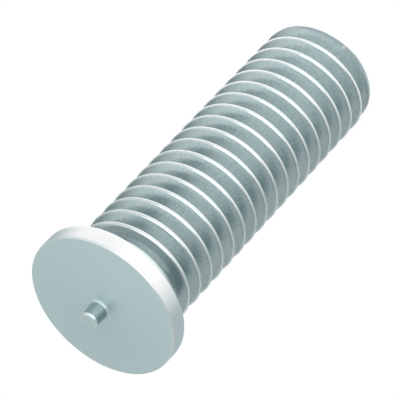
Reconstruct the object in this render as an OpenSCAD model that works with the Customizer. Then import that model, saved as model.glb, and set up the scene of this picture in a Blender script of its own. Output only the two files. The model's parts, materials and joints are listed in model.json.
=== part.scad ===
// Weld stud for capacitor-discharge welding: a flanged M5 stud, cold-headed and thread-rolled
// in one piece. It stands on its threaded end, with the weld face and the ignition tip on top.
// Origin: centre of the threaded end. +Z runs along the stud, towards the tip.

/* [Stud] */
// Length from the rim of the weld face to the threaded end
stud_length = 16; // [10:0.5:25]

/* [Thread] */
// Diameter over the thread crests
thread_d = 4.97; // [4.5:0.01:5.2]
// Distance from one crest to the next
thread_pitch = 0.8; // [0.6:0.05:1]
// Angle between the two flanks of a groove
thread_angle = 60; // [55:1:65]
// Width of the flat on the crests, between sharp corners
crest_width = 0.18; // [0.12:0.01:0.24]
// Width of the root, between sharp corners
root_width = 0.1; // [0.08:0.01:0.16]
// Edge break on the corners of the crests, along the flat and along the flank
crest_break = 0.03; // [0.01:0.005:0.05]
// Length along each flank over which the root is rounded
root_break = 0.06; // [0.02:0.01:0.1]
// Height of the lowest crest above the threaded end, on the front side
lowest_crest = 0.21; // [0.15:0.01:0.4]
// Bevel on the edge of the threaded end
end_bevel = 0.1; // [0.05:0.01:0.14]

/* [Neck] */
// Plain length between the flange and the first trace of the thread
neck_length = 0.57; // [0.4:0.01:1.5]
// Length over which the thread grows from the plain neck to its full depth
runout_length = 0.55; // [0.3:0.05:1.2]
// Fillet where the neck meets the flange
neck_fillet = 0.3; // [0.26:0.01:0.36]

/* [Flange] */
// Diameter of the flange
flange_d = 6.5; // [6.3:0.05:8]
// Thickness of the flange at its rim
flange_thickness = 0.88; // [0.7:0.02:1.4]
// Round on the edge of the weld face
face_edge_round = 0.1; // [0.04:0.01:0.2]
// Round on the edge of the seat, on the thread's side
seat_edge_round = 0.2; // [0.05:0.01:0.3]
// Slope of the weld face, which rises as a flat cone from the rim to the tip
face_angle = 3; // [1:0.5:5]

/* [Ignition tip] */
// Diameter of the tip at its root
tip_d = 0.78; // [0.6:0.01:0.9]
// Diameter of the tip at its end
tip_end_d = 0.72; // [0.5:0.01:0.8]
// Length of the tip from the weld face
tip_length = 0.78; // [0.5:0.01:1]
// Fillet where the tip meets the weld face
tip_fillet = 0.07; // [0.02:0.01:0.12]
// Round on the end of the tip
tip_round = 0.05; // [0.02:0.01:0.1]

/* [Hidden] */

$fn = 96;
// Straight pieces in a quarter-round edge
arc_steps = 6;
// Most triangles that the sides of the thread may take
thread_triangles = 10400;
// Depth to which the threaded shank runs into the neck, and how far it stays inside the neck's skin
shank_overlap = 0.15;
shank_inset = 0.03;
// Rows of the thread closer to an end than this are left out, so that no sliver is made there
row_gap = 0.004;

half_angle = thread_angle / 2;
thread_depth = (thread_pitch - crest_width - root_width) / 2 / tan(half_angle);
crest_r = thread_d / 2;
root_r = crest_r - thread_depth;
// Rolling pushes as much metal out into the crests as it takes from the grooves
neck_r = crest_r - thread_depth / 2;
blank_r = neck_r - shank_inset;

flange_r = flange_d / 2;
face_z = stud_length;
seat_z = face_z - flange_thickness;
neck_z = seat_z - neck_length;
shank_top_z = neck_z + shank_overlap;

// The weld face starts where the round of its edge has turned to the slope of the cone
face_edge = arc([flange_r - face_edge_round, face_z - face_edge_round], face_edge_round, 0, 90 - face_angle);
face_start = face_edge[arc_steps];
tip_r = tip_d / 2;
tip_root_z = face_height(tip_r);
tip_end_z = tip_root_z + tip_length;
tip_end_r = tip_end_d / 2;
tip_fillet_foot = tip_r + tip_fillet * (1 - sin(face_angle));
tip_fillet_z = face_height(tip_fillet_foot) + tip_fillet * cos(face_angle);

// Points of an arc in the half section, from one angle to the other
function arc(centre, radius, from, to) =
    [for (step = [0:arc_steps])
        let (angle = from + (to - from) * step / arc_steps)
        centre + radius * [cos(angle), sin(angle)]];

// Height of the conical weld face at a radius
function face_height(radius) = face_start.y + (face_start.x - radius) * tan(face_angle);

// One pitch of the thread as points of [height above the crest's centre, radius]
down_flank = [sin(half_angle), -cos(half_angle)];
crest_corner = [crest_width / 2, crest_r];
root_corner = [(thread_pitch - root_width) / 2, root_r];
half_groove = [
    crest_corner - [crest_break, 0],
    crest_corner + crest_break * down_flank,
    root_corner - root_break * down_flank
];
pitch_profile = concat(
    half_groove,
    [[thread_pitch / 2, root_r]],
    [for (k = [len(half_groove) - 1:-1:0]) [thread_pitch - half_groove[k].x, half_groove[k].y]]);
profile_table = concat([[0, crest_r]], pitch_profile, [[thread_pitch, crest_r]]);

// Rows run along the helix, and columns stand round the axis. The first column is on the front side.
rows_per_pitch = len(pitch_profile);
pitches = ceil(shank_top_z / thread_pitch) + 4;
rows = rows_per_pitch * pitches;
columns = 4 * floor(thread_triangles / (8 * rows_per_pitch * shank_top_z / thread_pitch));
first_row_z = lowest_crest - 2 * thread_pitch;

function row_height(row, column) =
    first_row_z
    + thread_pitch * (floor(row / rows_per_pitch) + column / columns)
    + pitch_profile[row % rows_per_pitch].x;

// Share of the full thread at a height: none at the neck, all of it below the run-out
function thread_share(z) =
    let (t = max(0, min(1, (neck_z - z) / runout_length)))
    t * t * (3 - 2 * t);

function shank_radius(z, full_radius) = blank_r + thread_share(z) * (full_radius - blank_r);

// Full radius of the thread at any height of a column
function full_radius_at(z, column) =
    let (turns = (z - first_row_z) / thread_pitch - column / columns)
    lookup(thread_pitch * (turns - floor(turns)), profile_table);

function around(column, radius, z) =
    let (angle = 360 * column / columns - 90)
    [radius * cos(angle), radius * sin(angle), z];

// Rows that a column has between the bevel of the threaded end and the top of the shank
function rows_of(column) =
    [for (row = [0:rows - 1])
        let (z = row_height(row, column))
        if (z > end_bevel + row_gap && z < shank_top_z - row_gap) row];

// Half section of the head: neck, flange, weld face and tip
module head() {
    rotate_extrude()
        polygon(concat(
            [[0, neck_z], [neck_r, neck_z]],
            arc([neck_r + neck_fillet, seat_z - neck_fillet], neck_fillet, 180, 90),
            arc([flange_r - seat_edge_round, seat_z + seat_edge_round], seat_edge_round, -90, 0),
            face_edge,
            arc([tip_r + tip_fillet, tip_fillet_z], tip_fillet, 270 - face_angle, 180),
            arc([tip_end_r - tip_round, tip_end_z - tip_round], tip_round, 0, 90),
            [[0, tip_end_z]]));
}

// Shank with its right-hand thread, closed by a bevelled flat end and by a disc inside the neck
module threaded_shank() {
    row_points = [
        for (row = [0:rows - 1], column = [0:columns - 1])
            let (z = row_height(row, column))
            around(column, shank_radius(z, pitch_profile[row % rows_per_pitch].y), z)];
    end_radii = [for (column = [0:columns - 1]) full_radius_at(end_bevel, column)];
    end_points = [for (column = [0:columns - 1]) around(column, end_radii[column] - end_bevel, 0)];
    bevel_points = [for (column = [0:columns - 1]) around(column, end_radii[column], end_bevel)];
    top_points = [for (column = [0:columns - 1]) around(column, blank_r, shank_top_z)];

    end_start = len(row_points);
    bevel_start = end_start + columns;
    top_start = bevel_start + columns;
    end_centre = top_start + columns;
    top_centre = end_centre + 1;

    // Round the axis once, a row meets the row that is one pitch higher
    function at_row(row, column) =
        column < columns ? row * columns + column : (row + rows_per_pitch) * columns;
    function at(start, column) = start + column % columns;
    own_rows = [for (column = [0:columns - 1]) rows_of(column)];
    lowest_rows = [for (list = own_rows) list[0]];
    highest_rows = [for (list = own_rows) list[len(list) - 1]];
    function lowest(column) = column < columns ? lowest_rows[column] : lowest_rows[0] - rows_per_pitch;
    function highest(column) = column < columns ? highest_rows[column] : highest_rows[0] - rows_per_pitch;
    function fan(hub, chain) = [for (k = [0:len(chain) - 2]) [hub, chain[k + 1], chain[k]]];

    flank_faces = [
        for (a = [0:columns - 1], row = [lowest(a):1:highest(a + 1) - 1])
            each [
                [at_row(row, a), at_row(row + 1, a), at_row(row + 1, a + 1)],
                [at_row(row, a), at_row(row + 1, a + 1), at_row(row, a + 1)]]];
    bevel_seam_faces = [
        for (a = [0:columns - 1])
            each fan(at(bevel_start, a), concat(
                [at(bevel_start, a + 1)],
                [for (row = [lowest(a + 1):1:lowest(a)]) at_row(row, a + 1)],
                [at_row(lowest(a), a)]))];
    top_seam_faces = [
        for (a = [0:columns - 1])
            each fan(at(top_start, a + 1), concat(
                [at(top_start, a)],
                [for (row = [highest(a):-1:highest(a + 1)]) at_row(row, a)],
                [at_row(highest(a + 1), a + 1)]))];
    end_faces = [
        for (a = [0:columns - 1])
            each [
                [at(end_start, a), at(bevel_start, a), at(bevel_start, a + 1)],
                [at(end_start, a), at(bevel_start, a + 1), at(end_start, a + 1)],
                [end_centre, at(end_start, a), at(end_start, a + 1)],
                [top_centre, at(top_start, a + 1), at(top_start, a)]]];

    polyhedron(
        points = concat(
            row_points, end_points, bevel_points, top_points,
            [[0, 0, 0], [0, 0, shank_top_z]]),
        faces = concat(flank_faces, bevel_seam_faces, top_seam_faces, end_faces));
}

module weld_stud() {
    color([0.74, 0.78, 0.78]) {
        head();
        threaded_shank();
    }
}

weld_stud();
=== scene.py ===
# %% [markdown]
# # A weld stud
# This stud is welded to sheet metal by one short electric discharge. The thin tip touches the
# sheet first and burns off, the flange is pressed into the melt, and the thread is then ready for
# a nut. It is one piece of aluminium, pressed and rolled cold from a wire blank.
#
# The CAD model is loaded first and never changes. It fixes the size and the place of everything
# that follows, so that the look and the measured part can't drift apart.

# %% Load the CAD frame
import json
import math

import bpy
from mathutils import Matrix, Vector


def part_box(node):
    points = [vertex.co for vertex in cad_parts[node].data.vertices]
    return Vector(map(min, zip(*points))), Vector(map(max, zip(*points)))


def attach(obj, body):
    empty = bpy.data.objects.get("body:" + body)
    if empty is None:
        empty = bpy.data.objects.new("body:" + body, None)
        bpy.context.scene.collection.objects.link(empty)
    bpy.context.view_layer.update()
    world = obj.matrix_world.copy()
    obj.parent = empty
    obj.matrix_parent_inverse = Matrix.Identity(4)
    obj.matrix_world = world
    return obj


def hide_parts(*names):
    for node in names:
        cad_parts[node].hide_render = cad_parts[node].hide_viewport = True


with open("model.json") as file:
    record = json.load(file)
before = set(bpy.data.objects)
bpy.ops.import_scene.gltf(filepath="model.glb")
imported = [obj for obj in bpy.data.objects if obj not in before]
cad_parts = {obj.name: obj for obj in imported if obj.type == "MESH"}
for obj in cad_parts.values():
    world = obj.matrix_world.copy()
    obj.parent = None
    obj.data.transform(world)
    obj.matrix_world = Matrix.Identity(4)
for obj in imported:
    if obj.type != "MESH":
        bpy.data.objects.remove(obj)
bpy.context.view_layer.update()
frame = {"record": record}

# %% [markdown]
# ## Sizes
# Shapes are worked out in millimetres, as on a drawing, and turned to metres when a mesh is made.
# What the frame knows is read from it: the mounts give the heights of the weld face and of the
# seat, and the box gives the flange and the end of the tip. The finer sizes follow the drawing. The
# rounds of crests and edges are finer than there, because they decide where bright metal shines.

# %% Read the main heights and name the finer sizes
MM = 0.001
box_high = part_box("weld_stud")[1]
mount_height = {mount["name"]: mount["pos_m"][2] / MM for mount in frame["record"]["mounts"]}

face_z = mount_height["weld_face"]
seat_z = mount_height["flange_seat"]
tip_end_z = box_high.z / MM
flange_r = box_high.x / MM

thread_pitch = 0.8
thread_d = 4.97
crest_r = thread_d / 2
flank_angle = 30
flank_bow = 1
crest_flat = 0.008
crest_round = 0.115
root_round = 0.05
lowest_crest = 0.21
end_taper = 0.8
end_slope = 0.13
end_round = 0.05

neck_length = 0.72
neck_z = seat_z - neck_length
last_crest_below_seat = 0.85
last_crest_z = seat_z - last_crest_below_seat
crest_runout = 0.3
groove_runout = 0.2
neck_fillet = 0.3
seat_edge_round = 0.2
face_edge_round = 0.05
face_angle = 3
tip_d = 0.78
tip_r = tip_d / 2
tip_end_d = 0.72
tip_end_r = tip_end_d / 2
tip_fillet = 0.1
tip_round = 0.08

print(f"weld face at {face_z:.2f} mm, seat at {seat_z:.2f} mm, flange {2 * flange_r:.2f} mm across")

# %% [markdown]
# ## One pitch of the thread
# Two flat dies roll the thread. They press the grooves in and push the metal out into the crests,
# so there are no cut edges: each crest is round, each groove ends in a round root, and the flanks
# between them bulge a little. A round crest shows the whole room on a narrow strip, and that makes
# the bright line along it swell and taper. The bulge lets a flank brighten softly towards its crest.
# A section of one pitch holds all of this. It is a short list of points, each with its height above
# the middle of a crest and its distance from the axis, made of three arcs that run into each other.

# %% Section of one pitch
CREST_STEPS, FLANK_STEPS, ROOT_STEPS = 6, 6, 8


def arc(centre, radius, start, end, steps):
    """Points of an arc in a section, from one angle in degrees to the other."""
    points = []
    for step in range(steps + 1):
        angle = math.radians(start + (end - start) * step / steps)
        points.append((centre[0] + radius * math.cos(angle), centre[1] + radius * math.sin(angle)))
    return points


def between(start, end, shares):
    """Points on the straight line between two points, at these shares of its length."""
    return [tuple(a + (b - a) * share for a, b in zip(start, end)) for share in shares]


top_angle, foot_angle = flank_angle + flank_bow, flank_angle - flank_bow
cos_top, sin_top = math.cos(math.radians(top_angle)), math.sin(math.radians(top_angle))
cos_foot, sin_foot = math.cos(math.radians(foot_angle)), math.sin(math.radians(foot_angle))

crest_corner = arc((crest_flat / 2, crest_r - crest_round), crest_round, 90, top_angle, CREST_STEPS)
flank_start = crest_corner[-1]
flank_run = thread_pitch / 2 - flank_start[0] - root_round * cos_foot
flank_round = flank_run / (cos_foot - cos_top)
flank_centre = (flank_start[0] - flank_round * cos_top, flank_start[1] - flank_round * sin_top)
flank = arc(flank_centre, flank_round, top_angle, foot_angle, FLANK_STEPS)
root_centre = (thread_pitch / 2, flank[-1][1] + root_round * sin_foot)
root = arc(root_centre, root_round, 180 + foot_angle, 360 - foot_angle, ROOT_STEPS)

upper_half = crest_corner + flank[1:-1]
lower_half = [(thread_pitch - height, radius) for height, radius in reversed(upper_half)]
pitch_section = upper_half + root + lower_half
thread_depth = crest_r - root_centre[1] + root_round
neck_r = crest_r - thread_depth / 2
print(f"{len(pitch_section)} points to a pitch, groove {thread_depth:.3f} mm deep")

# %% [markdown]
# ## A mesh that follows the helix
# Blender's Screw modifier can sweep a section along a helix, but the sweep then has to be cut flat
# at one end and faded out at the other, and cuts leave ragged faces that a shiny metal shows at
# once. Here the vertices are laid out directly. Columns stand round the axis like the staves of a
# barrel, and rows climb along the helix. Going once round, a row meets the row one pitch higher.
# Near the neck the rows sink into the plain blank. The last crest goes first, because metal is
# pushed into it from one side only. The groove keeps its depth a little longer. At the free end the
# blank is slightly pointed so that a nut finds its way, and the dies don't fill the crest there.

# %% Lay the thread's rows on its columns
COLUMNS = 128
ROW_GAP = 0.004  # rows closer to an end than this would leave slivers there
PITCHES_BELOW = 2  # the helix starts below the end, so that every column is filled
rows_per_pitch = len(pitch_section)
vertices = []
faces = []


def place(column, radius, z):
    """Adds a vertex on a column, and returns its number."""
    angle = 2 * math.pi * column / COLUMNS - math.pi / 2
    vertices.append((radius * math.cos(angle) * MM, radius * math.sin(angle) * MM, z * MM))
    return len(vertices) - 1


def share_left(distance, length):
    """How much of a form there is at a distance from its end, when it fades over a length."""
    share = min(1, max(0, distance / length))
    return share * share * (3 - 2 * share)


def end_limit(z):
    """Largest radius at a height, which shrinks towards the pointed end of the blank."""
    return crest_r - end_slope * max(0, end_taper - z)


def row_point(row, column):
    """Radius and height of a row where it crosses a column."""
    turn, step = divmod(row, rows_per_pitch)
    above_crest, radius = pitch_section[step]
    crest_z = lowest_crest + thread_pitch * (turn + column / COLUMNS)
    z = crest_z + above_crest
    if radius > neck_r:
        own_crest_z = crest_z if above_crest < thread_pitch / 2 else crest_z + thread_pitch
        share = share_left(last_crest_z - own_crest_z, crest_runout)
    else:
        share = share_left(neck_z - z, groove_runout)
    return min(neck_r + share * (radius - neck_r), end_limit(z)), z


def lay_column(column):
    """Vertices of the rows that cross one column, as row: vertex."""
    laid = {}
    first_row = -PITCHES_BELOW * rows_per_pitch
    last_row = rows_per_pitch * math.ceil(neck_z / thread_pitch)
    for row in range(first_row, last_row):
        radius, z = row_point(row, column)
        if end_round + ROW_GAP < z < neck_z - ROW_GAP:
            laid[row] = place(column, radius, z)
    return laid


thread = [lay_column(column) for column in range(COLUMNS)]
thread.append({row - rows_per_pitch: vertex for row, vertex in thread[0].items()})
print(f"{len(vertices)} vertices on the thread")

# %% [markdown]
# ## Closing both ends of the thread
# At the free end the helix is cut flat and its edge is rounded, so the outline there is not quite
# a circle: it is closer to the axis where the groove runs out of the end. At the top, the rows
# stop at a true circle, the neck. In both places the rows end one after the other as the helix
# climbs, and a fan of triangles fills each step.

# %% Skin the thread and close its free end
END_STEPS = 4
END_RINGS = (0.96, 0.5)


def radius_on_thread(z, column):
    """Radius of the thread at any height of a column."""
    height = (z - lowest_crest - thread_pitch * column / COLUMNS) % thread_pitch
    ends = [(pitch_section[-1][0] - thread_pitch, crest_r), *pitch_section, (thread_pitch, crest_r)]
    for (low, low_r), (high, high_r) in zip(ends, ends[1:]):
        if low <= height <= high:
            return min(low_r + (high_r - low_r) * (height - low) / (high - low), end_limit(z))
    return end_limit(z)


def ring(radii, z):
    return [place(column, radius, z) for column, radius in enumerate(radii)]


def skin(lower, upper):
    """Faces between two rings."""
    for a in range(COLUMNS):
        b = (a + 1) % COLUMNS
        faces.append((lower[a], lower[b], upper[b], upper[a]))


def fan(hub, chain):
    for start, end in zip(chain, chain[1:]):
        faces.append((hub, start, end))


end_radii = [radius_on_thread(end_round, column) for column in range(COLUMNS)]
end_edge = [ring([radius - end_round + x for radius in end_radii], end_round + y)
            for x, y in arc((0, 0), end_round, 0, -90, END_STEPS)]
end_flat = [ring([(radius - end_round) * share for radius in end_radii], 0) for share in END_RINGS]
neck_ring = ring([neck_r] * COLUMNS, neck_z)

end_rings = end_edge + end_flat
for upper, lower in zip(end_rings, end_rings[1:]):
    skin(lower, upper)
end_centre = place(0, 0, 0)
fan(end_centre, list(reversed(end_rings[-1] + end_rings[-1][:1])))

for a in range(COLUMNS):
    here, beyond = thread[a], thread[a + 1]
    b = (a + 1) % COLUMNS
    lowest, lowest_beyond = min(here), min(beyond)
    highest, highest_beyond = max(here), max(beyond)
    for row in range(lowest, highest_beyond):
        faces.append((here[row], beyond[row], beyond[row + 1], here[row + 1]))
    steps_up = [beyond[row] for row in range(lowest_beyond, lowest + 1)]
    fan(end_edge[0][a], [end_edge[0][b], *steps_up, here[lowest]])
    steps_down = [here[row] for row in range(highest, highest_beyond - 1, -1)]
    fan(neck_ring[b], [neck_ring[a], *steps_down, beyond[highest_beyond]])

print(f"{len(faces)} faces on the thread and its end")

# %% [markdown]
# ## The headed end
# The flange and the tip are pressed in a round die, so they are a turned shape: one half section,
# swept round the axis. A die can't press a sharp edge, and on bright metal the rounded edges are
# what catches the light, so each edge has its own arc with enough steps to look smooth. The weld
# face is not flat. It rises three degrees to the tip, which lets gas escape from the weld. Smooth
# shading spreads a bend over the whole face next to it, so straight stretches have extra rings
# close to their ends. The one on the neck keeps the slopes of the thread out of its reflections.

# %% Sweep the half section of neck, flange, weld face and tip
EDGE_STEPS = 10

face_edge = arc((flange_r - face_edge_round, face_z - face_edge_round), face_edge_round,
                0, 90 - face_angle, EDGE_STEPS)
tan_face = math.tan(math.radians(face_angle))


def face_height(radius):
    return face_edge[-1][1] + (face_edge[-1][0] - radius) * tan_face


fillet_foot_r = tip_r + tip_fillet * (1 - math.sin(math.radians(face_angle)))
fillet_centre_z = face_height(fillet_foot_r) + tip_fillet * math.cos(math.radians(face_angle))

neck_side = arc((neck_r + neck_fillet, seat_z - neck_fillet), neck_fillet, 180, 90, EDGE_STEPS)
seat_edge = arc((flange_r - seat_edge_round, seat_z + seat_edge_round), seat_edge_round,
                -90, 0, EDGE_STEPS)
tip_foot = arc((tip_r + tip_fillet, fillet_centre_z), tip_fillet, 270 - face_angle, 180, EDGE_STEPS)
tip_edge = arc((tip_end_r - tip_round, tip_end_z - tip_round), tip_round, 0, 90, EDGE_STEPS)

INNER_RINGS = (0.03, 0.5, 0.97)
NECK_SUPPORT = 0.02
TIP_END_RING = 0.9
# The second finish is a darker copy of the metal, painted shade, and the third a paler one, painted
# highlight.
ROLLED, PAINTED_SHADE, PAINTED_HIGHLIGHT, PRESSED = range(4)
head_stretches = [
    (PAINTED_HIGHLIGHT, [(neck_r, neck_z + NECK_SUPPORT), neck_side[0]]),
    (PAINTED_SHADE, neck_side[1:] + between(neck_side[-1], seat_edge[0], INNER_RINGS)),
    (PAINTED_HIGHLIGHT, seat_edge + between(seat_edge[-1], face_edge[0], INNER_RINGS) + face_edge),
    (PRESSED, between(face_edge[-1], tip_foot[0], INNER_RINGS) + tip_foot),
    (PAINTED_SHADE, between(tip_foot[-1], tip_edge[0], INNER_RINGS)),
    (PAINTED_HIGHLIGHT, tip_edge),
    (PRESSED, [(tip_edge[-1][0] * TIP_END_RING, tip_end_z)]),
]

finish_of_face = [ROLLED] * len(faces)
last_ring = neck_ring
for finish, stretch in head_stretches:
    for radius, z in stretch:
        next_ring = ring([radius] * COLUMNS, z)
        skin(last_ring, next_ring)
        finish_of_face += [finish] * COLUMNS
        last_ring = next_ring
tip_centre = place(0, 0, tip_end_z)
fan(tip_centre, last_ring + last_ring[:1])
finish_of_face += [PRESSED] * COLUMNS
print(f"{len(faces)} faces on the whole stud")

# %% [markdown]
# ## One closed piece
# All faces go into one mesh, because the stud is one piece of metal. It takes the place of the CAD
# solid, which has the same main form with coarser facets, and it rides on the only body there is.
# Edges that turn less than the limit are shaded smooth, and the rest stay crisp.

# %% Make the stud
SMOOTH_LIMIT = math.radians(40)

stud_mesh = bpy.data.meshes.new("weld_stud_fine")
stud_mesh.from_pydata(vertices, [], faces)
stud_mesh.polygons.foreach_set("use_smooth", [True] * len(faces))
stud_mesh.set_sharp_from_angle(angle=SMOOTH_LIMIT)
stud_mesh.polygons.foreach_set("material_index", finish_of_face)

stud = bpy.data.objects.new("weld_stud_fine", stud_mesh)
bpy.context.scene.collection.objects.link(stud)
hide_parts("weld_stud")
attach(stud, "root")

stud_mesh.calc_loop_triangles()
edge_use = {}
for face in faces:
    for start, end in zip(face, face[1:] + face[:1]):
        edge_use[start, end] = edge_use.get((start, end), 0) + 1
open_edges = sum((end, start) not in edge_use or use > 1 for (start, end), use in edge_use.items())
print(f"stud: {len(stud_mesh.loop_triangles)} triangles, {open_edges} open edges")

# %% [markdown]
# ## Bare aluminium
# Colours are written as hex values, as in a paint program, and turned to linear light by one
# function. One more function adds a node with its settings and its links.

# %% Helpers for materials
def linear(hex_colour):
    """Linear RGBA of an sRGB hex value."""
    channels = [int(hex_colour[i:i + 2], 16) / 255 for i in (1, 3, 5)]
    return [c / 12.92 if c <= 0.04045 else ((c + 0.055) / 1.055) ** 2.4 for c in channels] + [1]


def add_node(tree, kind, inputs=None, **settings):
    """Adds a node. An input is a value, or the output of another node."""
    node = tree.nodes.new(kind)
    for name, value in settings.items():
        setattr(node, name, value)
    for socket, value in (inputs or {}).items():
        if isinstance(value, bpy.types.NodeSocket):
            tree.links.new(value, node.inputs[socket])
        else:
            node.inputs[socket].default_value = value
    return node


def new_material(name):
    """An empty node material, with its tree and its output node."""
    material = bpy.data.materials.new(name)
    material.use_nodes = True
    material.node_tree.nodes.clear()
    return material, material.node_tree, add_node(material.node_tree, "ShaderNodeOutputMaterial")


print("middle grey in linear light:", [round(c, 3) for c in linear("#808080")])

# %% [markdown]
# ### Four finishes of the same metal
# Cold forming leaves no coating and no cut marks. Where the dies slide, on the thread, the metal
# gets fine streaks along the axis. The crest tops, the neck, the rim and the edge of the tip are
# painted paler, nearly white on the crests and the rim: a painted highlight, which makes their
# mirror images white. The seat, the fillet beside it and the sides of the tip are painted a darker
# grey, as painted shade. Where the metal is only pressed, on the weld face and the end of the tip,
# it takes the fine dull grain of the die. To the eye that is a satin grey that mirrors its
# surroundings softly. The finishes are the same nodes with other numbers, so one function makes
# them. The streaks need a pattern that is finer round the axis than along it: the direction from
# the axis, a point on a circle, goes into a noise texture, and a circle has no seam.

# %% Cold-formed aluminium
# Sizes in mm. Real streaks and grain are a few hundredths of a millimetre wide, too fine for the
# picture, so they are drawn coarser.
STREAK_WIDTH = 0.05
STREAK_LENGTH = 0.1
GRAIN_SIZE = 0.08
CLOUD_SIZE = 1.8
MARK_DEPTH = 0.0003
NOISE_LOW, NOISE_HIGH = 0.3, 0.7  # a noise texture seldom leaves this range
NOISE_DETAIL = 2
DULL_LEVEL, BRIGHT_LEVEL = 0.3, 0.95  # places between the dull and the bright colour
STAIN_LEVEL = 0.06
LINE_LEVEL = 0.12
COLOUR_A, COLOUR_B, COLOUR_OUT = 6, 7, 2  # a Mix node's sockets for colours


def from_noise(tree, noise, low, high):
    """Spreads a noise over a range."""
    return add_node(tree, "ShaderNodeMapRange",
                    {"Value": noise, "From Min": NOISE_LOW, "From Max": NOISE_HIGH,
                     "To Min": low, "To Max": high}).outputs["Result"]


def cold_formed_aluminium(name, slides, dull, bright, dull_r, bright_r, roughness):
    """Bare aluminium that goes from dull to bright between two radii."""
    material, tree, output = new_material(name)
    metres = add_node(tree, "ShaderNodeTexCoord").outputs["Object"]
    spot = add_node(tree, "ShaderNodeVectorMath", {0: metres, "Scale": 1 / MM},
                    operation="SCALE").outputs[0]
    sideways = add_node(tree, "ShaderNodeVectorMath", {0: spot, 1: (1, 1, 0)},
                        operation="MULTIPLY").outputs[0]
    radius = add_node(tree, "ShaderNodeVectorMath", {0: sideways}, operation="LENGTH").outputs["Value"]
    if slides:
        direction = add_node(tree, "ShaderNodeVectorMath", {0: sideways},
                             operation="NORMALIZE").outputs[0]
        along = add_node(tree, "ShaderNodeVectorMath", {0: spot, 1: (0, 0, 1 / STREAK_LENGTH)},
                         operation="MULTIPLY").outputs[0]
        mark_spot = add_node(tree, "ShaderNodeVectorMath",
                             {0: direction, 1: [crest_r / STREAK_WIDTH] * 3, 2: along},
                             operation="MULTIPLY_ADD").outputs[0]
    else:
        mark_spot = add_node(tree, "ShaderNodeVectorMath", {0: spot, "Scale": 1 / GRAIN_SIZE},
                             operation="SCALE").outputs[0]
    marks = add_node(tree, "ShaderNodeTexNoise",
                     {"Vector": mark_spot, "Scale": 1, "Detail": NOISE_DETAIL}).outputs["Fac"]
    clouds = add_node(tree, "ShaderNodeTexNoise",
                      {"Vector": spot, "Scale": 1 / CLOUD_SIZE,
                       "Detail": NOISE_DETAIL}).outputs["Fac"]

    level = add_node(tree, "ShaderNodeMapRange",
                     {"Value": radius, "From Min": dull_r, "From Max": bright_r,
                      "To Min": DULL_LEVEL, "To Max": BRIGHT_LEVEL}).outputs["Result"]
    stains = from_noise(tree, clouds, -STAIN_LEVEL, STAIN_LEVEL)
    lines = from_noise(tree, marks, -LINE_LEVEL, LINE_LEVEL)
    tone = add_node(tree, "ShaderNodeMath", {0: level, 1: stains}, operation="ADD").outputs[0]
    tone = add_node(tree, "ShaderNodeMath", {0: tone, 1: lines}, operation="ADD").outputs[0]
    colour = add_node(tree, "ShaderNodeMix",
                      {0: tone, COLOUR_A: linear(dull), COLOUR_B: linear(bright)},
                      data_type="RGBA").outputs[COLOUR_OUT]
    shine = from_noise(tree, marks, *roughness)
    bump = add_node(tree, "ShaderNodeBump",
                    {"Height": marks, "Distance": MARK_DEPTH * MM}).outputs["Normal"]
    metal = add_node(tree, "ShaderNodeBsdfPrincipled",
                     {"Base Color": colour, "Metallic": 1, "Roughness": shine, "Normal": bump})
    tree.links.new(metal.outputs["BSDF"], output.inputs["Surface"])
    return material


# Thread, rolled between dies: streaked grey grooves, and crest tops painted nearly white as a
# painted highlight.
stud_mesh.materials.append(cold_formed_aluminium(
    "aluminium_rolled", slides=True, dull="#ABBDBE", bright="#FAFDFD",
    dull_r=crest_r - 0.05, bright_r=crest_r - 0.005, roughness=(0.22, 0.26)))
# Fillet, seat and sides of the tip: a darker grey, darkest towards the rim, as painted shade under
# the flange and on the tip.
stud_mesh.materials.append(cold_formed_aluminium(
    "aluminium_painted_shade", slides=True, dull="#B4C0C2", bright="#9AA6A8",
    dull_r=neck_r, bright_r=flange_r, roughness=(0.2, 0.26)))
# Neck, rim and edge of the tip: the palest metal, white on the rim, a painted highlight.
stud_mesh.materials.append(cold_formed_aluminium(
    "aluminium_painted_highlight", slides=True, dull="#EEF6F7", bright="#FFFFFF",
    dull_r=flange_r - 0.2, bright_r=flange_r - 0.02, roughness=(0.22, 0.26)))
# Weld face and end of the tip, pressed by a die with a fine grain: pale, too dull for sharp mirror images.
stud_mesh.materials.append(cold_formed_aluminium(
    "aluminium_pressed", slides=False, dull="#DCEBEC", bright="#E4F1F1",
    dull_r=tip_r, bright_r=flange_r, roughness=(0.5, 0.54)))
print("finishes:", [material.name for material in stud_mesh.materials])

# %% [markdown]
# ## The studio
# Bright metal has hardly any colour of its own. What it shows is the room, so the room is part of
# the finish. The stud stands on a white table. The rim and the tops of the crests face sideways,
# and from this camera they mirror the table, which makes them white. The flanks face up and
# mirror the ceiling, which is a cooler and darker grey. At its edge the table sweeps up into a low
# wall all round, so that a camera close to the table sees white behind the stud as well.

# %% White table
CENTRE_RADIUS = 0.02
FLAT_RADIUS = 0.5
SWEEP_RADIUS = 0.08
TABLE_SIDES = 96
TABLE_WHITE = linear("#FAFAFA")
TABLE_GLOW = 0.9
GLOW_STRENGTH = 1.04

sweep = [(CENTRE_RADIUS, 0), *arc((FLAT_RADIUS, SWEEP_RADIUS), SWEEP_RADIUS, -90, 0, EDGE_STEPS)]
corners = [(0, 0, 0)]
for radius, z in sweep:
    corners += [(x, y, z) for x, y in arc((0, 0), radius, 0, 360, TABLE_SIDES)[:-1]]
panes = []
for k in range(TABLE_SIDES):
    left, right = 1 + k, 1 + (k + 1) % TABLE_SIDES
    panes.append((0, left, right))
    for step in range(0, TABLE_SIDES * (len(sweep) - 1), TABLE_SIDES):
        panes.append((left + step, left + step + TABLE_SIDES, right + step + TABLE_SIDES, right + step))

table_mesh = bpy.data.meshes.new("table")
table_mesh.from_pydata(corners, [], panes)
table_mesh.polygons.foreach_set("use_smooth", [True] * len(panes))
table = bpy.data.objects.new("table", table_mesh)
bpy.context.scene.collection.objects.link(table)

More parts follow.
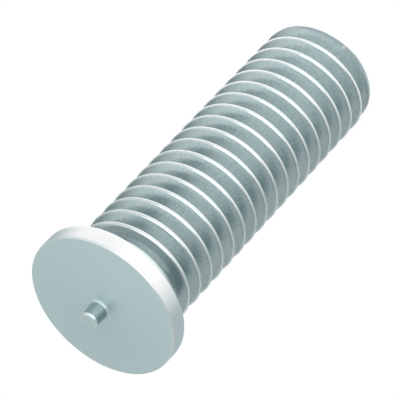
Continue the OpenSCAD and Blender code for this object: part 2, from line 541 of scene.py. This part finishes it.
# Matt white paint, evenly lit: the eye sees plain white with a soft shadow.
white, tree, output = new_material("table_white")
paint = add_node(tree, "ShaderNodeBsdfDiffuse", {"Color": TABLE_WHITE}).outputs["BSDF"]
glow = add_node(tree, "ShaderNodeEmission",
                {"Color": (1, 1, 1, 1), "Strength": GLOW_STRENGTH}).outputs["Emission"]
ray = add_node(tree, "ShaderNodeLightPath").outputs
seen = add_node(tree, "ShaderNodeMath", {0: ray["Is Camera Ray"], 1: ray["Is Glossy Ray"]},
                operation="MAXIMUM").outputs[0]
seen = add_node(tree, "ShaderNodeMath", {0: seen, 1: ray["Is Transmission Ray"]},
                operation="MAXIMUM").outputs[0]
share = add_node(tree, "ShaderNodeMath", {0: seen, 1: TABLE_GLOW}, operation="MULTIPLY").outputs[0]
surface = add_node(tree, "ShaderNodeMixShader", {0: share, 1: paint, 2: glow}).outputs[0]
tree.links.new(surface, output.inputs["Surface"])
table_mesh.materials.append(white)
print("table:", 2 * (FLAT_RADIUS + SWEEP_RADIUS), "m across")

# %% [markdown]
# ### Grey mats
# A photographer of bright metal works with cards as much as with lamps. Mats of graded paper lie on
# the table, white towards the camera and grey at the sides and behind. Those close by give the sides
# of the rim and of the crests something darker to mirror, and those further off do the same for the
# grooves. A narrow pale grey ring round the foot is a painted shadow: it stands for the stud's
# contact shadow, which the glowing table hides from mirror rays, and the free end mirrors it. Left
# and right are equally grey where they meet behind the stud, because a step there would show on the
# rim. Ray visibility keeps the mats out of the picture itself: only mirror rays meet them.

# %% Grey mats
MAT_WHITE, FOOT_SHADOW_GREY = linear("#FFFFFF"), linear("#C8D2D4")
MAT_GREY, MAT_DARK = linear("#A8B7BA"), linear("#86969A")
MAT_LIFT = 0.02
MAT_STEPS = 32
MATS = {  # colour, inner and outer radius in mm, angles from the front where it starts, is full, ends
    "mat_right": (MAT_GREY, 3.6, 30, 27, 80, 180),
    "mat_far_right": (MAT_DARK, 30, 100, 15, 60, 180),
    "mat_far_left": (MAT_DARK, 30, 100, -20, -48, -180),
    "mat_left": (MAT_GREY, 21.8, 30, -92, -130, -180),
    "mat_back_left": (MAT_GREY, 3.6, 21.8, -130, -172, -180),
    # The two foot rings are a painted contact shadow, seen only by mirror rays.
    "painted_foot_shadow_right": (FOOT_SHADOW_GREY, 2.42, 3.1, 0, 2, 180),
    "painted_foot_shadow_left": (FOOT_SHADOW_GREY, 2.42, 3.1, 0, -2, -180),
}


def mat_paper(name, shade, starts, full):
    """Paper that fades from white to its shade with the angle from the front."""
    material, tree, output = new_material(name)
    spot = add_node(tree, "ShaderNodeTexCoord").outputs["Object"]
    direction = add_node(tree, "ShaderNodeVectorMath", {0: spot}, operation="NORMALIZE").outputs[0]
    frontness = add_node(tree, "ShaderNodeVectorMath", {0: direction, 1: (0, -1, 0)},
                         operation="DOT_PRODUCT").outputs["Value"]
    share = add_node(tree, "ShaderNodeMapRange",
                     {"Value": frontness, "From Min": math.cos(math.radians(starts)),
                      "From Max": math.cos(math.radians(full))}).outputs["Result"]
    colour = add_node(tree, "ShaderNodeMix", {0: share, COLOUR_A: MAT_WHITE, COLOUR_B: shade},
                      data_type="RGBA").outputs[COLOUR_OUT]
    glow = add_node(tree, "ShaderNodeEmission", {"Color": colour, "Strength": 1})
    tree.links.new(glow.outputs["Emission"], output.inputs["Surface"])
    return material


for name, (shade, inner, outer, starts, full, ends) in MATS.items():
    near = arc((0, 0), inner, -90 - starts, -90 - ends, MAT_STEPS)
    far = arc((0, 0), outer, -90 - starts, -90 - ends, MAT_STEPS)
    corners = [(x * MM, y * MM, MAT_LIFT * MM) for x, y in near + far]
    strips = [(k, k + 1, k + 2 + MAT_STEPS, k + 1 + MAT_STEPS) for k in range(MAT_STEPS)]
    mat_mesh = bpy.data.meshes.new(name)
    mat_mesh.from_pydata(corners, [], strips)
    mat_mesh.materials.append(mat_paper(name, shade, starts, full))
    mat = bpy.data.objects.new(name, mat_mesh)
    mat.visible_camera = False
    mat.visible_diffuse = False
    mat.visible_shadow = False
    bpy.context.scene.collection.objects.link(mat)
print("mats:", list(MATS))

# %% [markdown]
# ### Light tent
# The world is a tent of cool grey cloth, darker near the table and lighter overhead. Four white
# panels glow in front of it and fade at their edges. The front one fills the middle of each round
# crest with a white line, the left and the right one brighten the flanks at the sides, and the weld
# face mirrors the one at the back. The panels are a light of their own, added to that of the cloth,
# so the cloth doesn't tint them.

# %% Light tent
TENT_GREY = linear("#E6F4F6")
TENT_LOW, TENT_HIGH = 0.34, 0.65
TENT_RISE = (0.45, 1.0)
PANELS = {  # direction, added brightness, angles in degrees where it starts and where it is full
    "left": ((0.85, -0.2, 0.48), 0.44, 54, 16),
    "right": ((-0.6, 0.65, 0.47), 0.2, 32, 8),
    "front": ((0.06, -0.87, 0.49), 1.0, 44, 24),
    "back": ((0.2, 0.6, 0.77), 0.31, 35, 0),
}

world = bpy.data.worlds.new("light_tent")
bpy.context.scene.world = world
world.use_nodes = True
tree = world.node_tree
tree.nodes.clear()
look = add_node(tree, "ShaderNodeTexCoord").outputs["Generated"]
height = add_node(tree, "ShaderNodeSeparateXYZ", {0: look}).outputs["Z"]
cloth = add_node(tree, "ShaderNodeMapRange",
                 {"Value": height, "From Min": TENT_RISE[0], "From Max": TENT_RISE[1],
                  "To Min": TENT_LOW, "To Max": TENT_HIGH},
                 interpolation_type="SMOOTHSTEP").outputs["Result"]
glow = 0
for centre, added, starts, full in PANELS.values():
    nearness = add_node(tree, "ShaderNodeVectorMath", {0: look, 1: Vector(centre).normalized()},
                        operation="DOT_PRODUCT").outputs["Value"]
    panel = add_node(tree, "ShaderNodeMapRange",
                     {"Value": nearness, "From Min": math.cos(math.radians(starts)),
                      "From Max": math.cos(math.radians(full)), "To Max": added},
                     interpolation_type="SMOOTHSTEP").outputs["Result"]
    glow = add_node(tree, "ShaderNodeMath", {0: panel, 1: glow}, operation="ADD").outputs[0]
tent = add_node(tree, "ShaderNodeBackground", {"Color": TENT_GREY, "Strength": cloth}).outputs[0]
panels = add_node(tree, "ShaderNodeBackground", {"Color": (1, 1, 1, 1), "Strength": glow}).outputs[0]
room = add_node(tree, "ShaderNodeAddShader", {0: tent, 1: panels}).outputs[0]
add_node(tree, "ShaderNodeOutputWorld", {"Surface": room})
print("panels:", list(PANELS))

# %% [markdown]
# ### Lamp
# One soft box stands beside the camera. It lights the table and throws the stud's soft shadow on it.
# The metal doesn't mirror it, because a lamp has hard edges that would cut each bright line in two.
# The panels of the tent, whose edges fade, give the metal its light.

# %% Soft box
STUD_MIDDLE = Vector((0, 0, face_z / 2 * MM))
LAMP_TURN, LAMP_RISE = math.radians(-15), math.radians(38)
LAMP_DISTANCE = 0.25
LAMP_WIDTH, LAMP_HEIGHT = 0.24, 0.16
LAMP_RADIANCE = 1.0  # that of the lamp's face, 1 being white

lamp = bpy.data.lights.new("front_box", "AREA")
lamp.shape = "RECTANGLE"
lamp.size = LAMP_WIDTH
lamp.size_y = LAMP_HEIGHT
lamp.energy = LAMP_RADIANCE * math.pi * LAMP_WIDTH * LAMP_HEIGHT
soft_box = bpy.data.objects.new("front_box", lamp)
bpy.context.scene.collection.objects.link(soft_box)
away = Vector((math.sin(LAMP_TURN) * math.cos(LAMP_RISE),
               -math.cos(LAMP_TURN) * math.cos(LAMP_RISE),
               math.sin(LAMP_RISE)))
soft_box.location = STUD_MIDDLE + away * LAMP_DISTANCE
soft_box.rotation_euler = away.to_track_quat("Z", "Y").to_euler()
soft_box.visible_glossy = False
print(f"soft box: {lamp.energy:.3f} W")

# %% [markdown]
# ## Camera
# A long lens from in front of the stud and above it. The picture shows the stud lying across the
# frame with its weld face to the viewer. The stud itself stands, so the camera is rolled instead.

# %% Camera
CAMERA_AIM = Vector((0.04, 0, 9.02)) * MM
CAMERA_DISTANCE = 145.0 * MM
CAMERA_ELEVATION = math.radians(37.85)
CAMERA_ROLL = math.radians(-137.0)
CAMERA_LENS = 332.96
CAMERA_SENSOR = 36
CAMERA_CLIP = 0.01

camera_data = bpy.data.cameras.new("camera")
camera_data.lens = CAMERA_LENS
camera_data.sensor_width = CAMERA_SENSOR
camera_data.clip_start = CAMERA_CLIP
camera = bpy.data.objects.new("camera", camera_data)
bpy.context.scene.collection.objects.link(camera)
tilt = Matrix.Rotation(math.pi / 2 - CAMERA_ELEVATION, 4, "X")
camera.matrix_world = (Matrix.Translation(CAMERA_AIM) @ tilt @ Matrix.Rotation(CAMERA_ROLL, 4, "Z")
                       @ Matrix.Translation((0, 0, CAMERA_DISTANCE)))
bpy.context.scene.camera = camera
bpy.context.scene.view_settings.view_transform = "Standard"
print("camera at", [round(c / MM, 2) for c in camera.matrix_world.translation], "mm")
